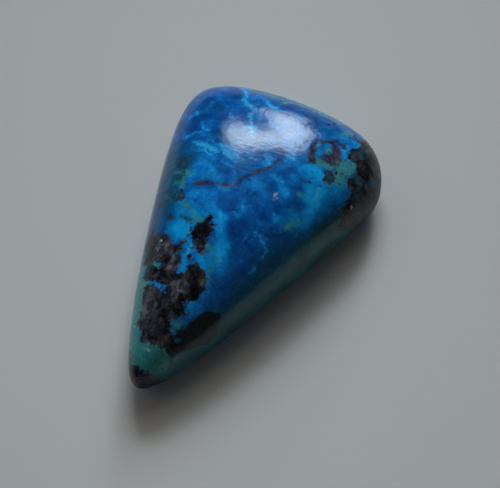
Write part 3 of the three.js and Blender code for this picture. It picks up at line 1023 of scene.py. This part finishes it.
# %% Green with painted rim sheen, the flank with painted shade, and slate blue
# these greens also colour the painted rim sheen along the top
GREENS_AND_RIM_SHEEN = [(0.3, "#287376"), (0.45, "#3e928d"), (0.6, "#4dac9e"), (0.75, "#78ccb2")]
# dark sea-greens of the flank, partly painted shade
SEA_GREENS_AND_SHADE = [(0.3, "#00444e"), (0.5, "#005e66"), (0.7, "#107c78")]
SLATE_BLUES = [(0.3, "#044a70"), (0.5, "#105e88"), (0.7, "#2c7aa2")]
green_and_rim_sheen_colour = tinted(weigh((fine[2], 0.4), (middle[2], 0.6)), GREENS_AND_RIM_SHEEN)
sea_green_and_shade_colour = tinted(weigh((fine[2], 0.3), (broad[1], 0.7)), SEA_GREENS_AND_SHADE)
slate_blue_colour = tinted(weigh((fine[2], 0.4), (middle[0], 0.6)), SLATE_BLUES)
print("greens", len(GREENS_AND_RIM_SHEEN), "flanks", len(SEA_GREENS_AND_SHADE), "slate blues", len(SLATE_BLUES))

# %% [markdown]
# The dark rock is a mass of grains under a millimetre wide, each with a grey of its own.
# A Voronoi pattern gives such grains, and noise pushes its places about first, because
# its cells would else be too neat. Some parts of the rock are browner than others.

# %% Dark rock
GRAIN_MM, GRAIN_PUSH_MM = 0.8, 0.9
BROWN_FROM, BROWN_TO, BROWN_MOST = 0.45, 0.65, 0.35
ROCKS = [(0.1, "#030406"), (0.3, "#14161a"), (0.5, "#303338"), (0.7, "#4b4c51"), (0.95, "#767981")]
BROWN_ROCKS = [(0.1, "#050404"), (0.5, "#33292c"), (0.9, "#6a5a5c")]
about_zero = {0: edge[3], 1: (0.5, 0.5, 0.5)}
any_way = add("ShaderNodeVectorMath", {"operation": "SUBTRACT"}, about_zero).outputs[0]
push = add("ShaderNodeVectorMath", {"operation": "SCALE"}, {0: any_way, "Scale": GRAIN_PUSH_MM})
pushed = {0: place_mm, 1: push.outputs[0]}
grain_place = add("ShaderNodeVectorMath", {"operation": "ADD"}, pushed).outputs[0]
grain_sizes = {"Vector": grain_place, "Scale": 1 / GRAIN_MM, "Randomness": 1.0}
grains = add("ShaderNodeTexVoronoi", {}, grain_sizes).outputs["Color"]
grain = add("ShaderNodeSeparateColor", {}, {0: grains}).outputs[0]
rock_mottle = [(grain, 0.30), (middle[1], 1.1), (broad[1], 0.8), (fine[0], 0.7)]
rock_level = weigh(*rock_mottle, (field_value("rock_tone"), 1.0), plus=-0.95)
brown_levels = {0: broad[0], 1: BROWN_FROM, 2: BROWN_TO, 3: 0.0, 4: BROWN_MOST}
brown_share = add("ShaderNodeMapRange", {}, brown_levels).outputs[0]
rock_colour = lay(brown_share, tinted(rock_level, ROCKS), tinted(rock_level, BROWN_ROCKS))
print("grains", GRAIN_MM, "mm wide")

# %% Small minerals
RUSTS = [(0.35, "#241a1c"), (0.5, "#46302e"), (0.65, "#684642")]
OLIVES = [(0.3, "#0e1a1a"), (0.5, "#1c2c2c"), (0.75, "#2e4644")]
SLATES = [(0.35, "#10303e"), (0.5, "#264c5c"), (0.7, "#3c6c7e")]
# near-white colours of the painted glints and the pale fleck
PALE_AND_GLINT_COLOURS = [(0.35, "#6c94ac"), (0.5, "#a0bccc"), (0.65, "#e4eef4")]
FEATHER_HAZE, FEATHER_CORE = colour("#089cf0"), colour("#3cc4ff")
rust_colour = tinted(middle[0], RUSTS)
olive_colour = tinted(weigh((middle[2], 0.6), (fine[0], 0.4)), OLIVES)
slate_colour = tinted(weigh((middle[1], 0.5), (fine[2], 0.5)), SLATES)
pale_and_glint_colour = tinted(fine[0], PALE_AND_GLINT_COLOURS)
print("nodes so far", len(nodes))

# %% [markdown]
# The minerals are laid over each other in this order: slate blue, the flank with its painted shade,
# turquoise, green with its painted rim sheen, feathers, specks, dark rock with its flecks, slate,
# the olive plate, the seam, the other red-brown and the pale specks, which are mostly painted
# glints. What is later in the list cuts off what is under it. A feather is laid twice: a soft haze,
# and a narrower, brighter core.

# %% Lay the minerals over each other


def mineral_mask(name, edge_noise, edge_mm, soft_mm, most=1.0, shift_mm=0.0):
    """How much of a mineral shows at a place, from 0 to most.

    Noise moves the field's edge by up to edge_mm either way, and the shift moves all of it.
    The mineral fades in from soft_mm outside the edge to soft_mm inside it.
    """
    drawn = (field_value(name), 1.0)
    pushed_depth = weigh(drawn, (edge_noise, 2 * edge_mm), plus=shift_mm - edge_mm)
    return fade(pushed_depth, -soft_mm, soft_mm, at_high=most)


SPECK_LEVELS, FLECK_LEVELS = (0.60, 0.66), (0.66, 0.72)
rock_mask = mineral_mask("dark_rock", edge[0], 1.3, 0.14)
speck_zone_mask = mineral_mask("speck_zone", edge[0], 1.0, 0.5)
speck_mask = times(fade(specks[0], *SPECK_LEVELS, at_high=0.85), speck_zone_mask)
fleck_mask = times(fade(specks[1], *FLECK_LEVELS, at_high=0.7), rock_mask)
LAYERS = [
    (mineral_mask("slate_blue", broad[2], 3.0, 1.6), slate_blue_colour),
    # the flank: sea-green with painted shade
    (mineral_mask("sea_green_and_shade", middle[0], 2.0, 1.2), sea_green_and_shade_colour),
    (mineral_mask("turquoise", edge[1], 1.5, 0.65), turquoise_colour),
    # green, with the painted rim sheen along the top
    (mineral_mask("green_and_rim_sheen", edge[2], 1.2, 0.35, most=0.88), green_and_rim_sheen_colour),
    (mineral_mask("feathers", edge[1], 0.9, 0.35, most=0.75), FEATHER_HAZE),
    (mineral_mask("feathers", fine[0], 0.7, 0.22, most=0.9, shift_mm=-0.22), FEATHER_CORE),
    (speck_mask, slate_colour),
    (rock_mask, rock_colour),
    (fleck_mask, slate_colour),
    (mineral_mask("slate", edge[1], 0.7, 0.2, most=0.85), slate_colour),
    (mineral_mask("olive_plate", edge[1], 0.3, 0.12), olive_colour),
    (mineral_mask("seam", edge[2], 0.5, 0.18, most=0.70), rust_colour),
    (mineral_mask("rust", edge[2], 1.0, 0.2, most=0.88), rust_colour),
    # pale specks: mostly painted glints over pits
    (mineral_mask("pale_fleck_and_glint", edge[1], 0.5, 0.1, most=0.9), pale_and_glint_colour),
]
stone_colour = blue
for mask, mineral_colour in LAYERS:
    stone_colour = lay(mask, stone_colour, mineral_colour)
print("layers over the blue", len(LAYERS))

# %% [markdown]
# The finish is a hand polish: close to a mirror on the blue, and a little duller on the
# dark rock, whose softer grains drag out. The index of refraction is 1.47, at the low
# end of chrysocolla's, because the steep flanks mirror little. Two faint bumps make the
# rim of a highlight uneven: ripples about a millimetre wide, and fine streaks across the
# stone, four times as long as they are wide. Turning their noise keeps its lattice from
# lining up with them.

# %% Finish
STONE_IOR = 1.47
POLISHED, UNEVEN, ROCK_ROUGHER, HAZE_ROUGHER = 0.07, 0.06, 0.07, 0.34
STREAK_DEPTH_MM, RIPPLE_DEPTH_MM = 0.019, 0.026
STREAK_WIDTH_MM, STREAK_STRETCH, STREAK_TURN_DEG = 0.35, 4.0, -70.0
rougher = [(middle[2], UNEVEN), (rock_mask, ROCK_ROUGHER), (field_value("haze"), HAZE_ROUGHER)]
roughness = weigh(*rougher, plus=POLISHED)
streak_place = add("ShaderNodeMapping", {"vector_type": "POINT"}, {
    0: place_mm,
    "Rotation": (0.0, 0.0, math.radians(STREAK_TURN_DEG)),
    "Scale": (1 / STREAK_STRETCH, 1.0, 1.0),
})
streaks = add("ShaderNodeTexNoise", {}, {
    "Vector": streak_place.outputs[0],
    "Scale": 1 / STREAK_WIDTH_MM,
    "Detail": 3.0,
    "Roughness": 0.6,
})
ripples = add("ShaderNodeBump", {}, {
    "Strength": 1.0,
    "Distance": RIPPLE_DEPTH_MM * MM,
    "Height": middle[2],
})
bump = add("ShaderNodeBump", {}, {
    "Strength": 1.0,
    "Distance": STREAK_DEPTH_MM * MM,
    "Height": streaks.outputs[0],
    "Normal": ripples.outputs[0],
})
shader = add("ShaderNodeBsdfPrincipled", {}, {
    "Base Color": stone_colour,
    "Roughness": roughness,
    "IOR": STONE_IOR,
    "Normal": bump.outputs[0],
})
add("ShaderNodeOutputMaterial", {}, {0: shader.outputs[0]})
mesh.materials.append(material)
print("material has", len(nodes), "nodes")

# %% [markdown]
# The stone lies on a plain floor of pale matt paper, which mirrors nothing and gives soft
# light back to the sides. Behind it several round soft lamps stand together like a bright
# cloud, low enough to be mirrored in the dome as a white patch with two lobes, where one
# lamp could only give an even spot. Two wide fill lamps brighten the colours and aren't
# mirrored, and the rest of the room is dim, which keeps the blue deep.

# %% Floor
FLOOR_HALF_MM = 3000.0
FLOOR_GREY, FLOOR_ROUGHNESS = "#e9e2d9", 0.9
half = FLOOR_HALF_MM * MM
floor_corners = [(-half, -half, 0), (half, -half, 0), (half, half, 0), (-half, half, 0)]
floor_mesh = bpy.data.meshes.new("floor")
floor_mesh.from_pydata(floor_corners, [], [(0, 1, 2, 3)])
floor = bpy.data.objects.new("floor", floor_mesh)
bpy.context.scene.collection.objects.link(floor)
floor_material = bpy.data.materials.new("matt_paper")
floor_material.use_nodes = True
floor_shader = floor_material.node_tree.nodes["Principled BSDF"]
floor_shader.inputs["Base Color"].default_value = colour(FLOOR_GREY)
floor_shader.inputs["Roughness"].default_value = FLOOR_ROUGHNESS
floor_mesh.materials.append(floor_material)
print("floor", 2 * half, "m wide")

# %% Lamps
LAMP_DISTANCE_MM = 900.0
CLOUD_WHITE, FILL_WHITE = "#dcf2ff", "#f6faff"
CLOUD_BEAM, FILL_BEAM = 1.5, 1.05
CLOUD_LAMPS = [
    # name, turn, height above the floor and width in degrees, brightness
    ("cloud_column_high", -165.5, 37.5, 14.0, 10.4),
    ("cloud_column_middle", -167.0, 27.0, 14.5, 10.4),
    ("cloud_column_low", -163.5, 18.0, 11.5, 8.0),
    ("cloud_column_foot", -167.0, 11.0, 7.0, 4.4),
    ("cloud_bridge", -155.5, 40.5, 9.5, 8.4),
    ("cloud_left", -148.0, 39.5, 13.5, 9.8),
    ("cloud_left_low", -149.0, 32.0, 9.0, 2.6),
    ("cloud_left_high", -148.0, 47.0, 10.0, 1.2),
    ("cloud_end", -139.5, 37.0, 10.0, 4.4),
]
FILL_LAMPS = [("sky_fill", -160.0, 42.0, 60.0, 1.2), ("left_fill", -90.0, 45.0, 80.0, 0.24)]


def round_lamp(name, turn_deg, height_deg, across_deg, brightness, white, beam, mirrored):
    """A round lamp that faces the stone, as wide as across_deg seen from there.

    Its radius is its distance times the tangent of half that angle. Its power is four pi
    squared times its brightness and the square of its radius. Its beam is so many times
    as wide as the lamp, and fades towards its rim.
    """
    data = bpy.data.lights.new(name, "SPOT")
    radius = LAMP_DISTANCE_MM * MM * math.tan(math.radians(across_deg / 2))
    data.shadow_soft_size = radius
    data.energy = brightness * 4 * math.pi ** 2 * radius ** 2
    data.spot_size = math.radians(beam * across_deg)
    data.spot_blend = 1.0
    data.color = colour(white)[:3]
    lamp = bpy.data.objects.new(name, data)
    lamp.visible_glossy = mirrored
    bpy.context.scene.collection.objects.link(lamp)
    look_at(lamp, direction(turn_deg, height_deg) * LAMP_DISTANCE_MM * MM, (0, 0, 0))


for row in CLOUD_LAMPS:
    round_lamp(*row, white=CLOUD_WHITE, beam=CLOUD_BEAM, mirrored=True)
for row in FILL_LAMPS:
    round_lamp(*row, white=FILL_WHITE, beam=FILL_BEAM, mirrored=False)

# %% Dim room
ROOM_WHITE, ROOM_STRENGTH = "#e8eef5", 0.05
world = bpy.data.worlds.new("dim_room")
bpy.context.scene.world = world
world.use_nodes = True
background = world.node_tree.nodes["Background"]
background.inputs[0].default_value = colour(ROOM_WHITE)
background.inputs[1].default_value = ROOM_STRENGTH
bpy.context.scene.view_settings.view_transform = "Standard"
print("room strength", ROOM_STRENGTH)
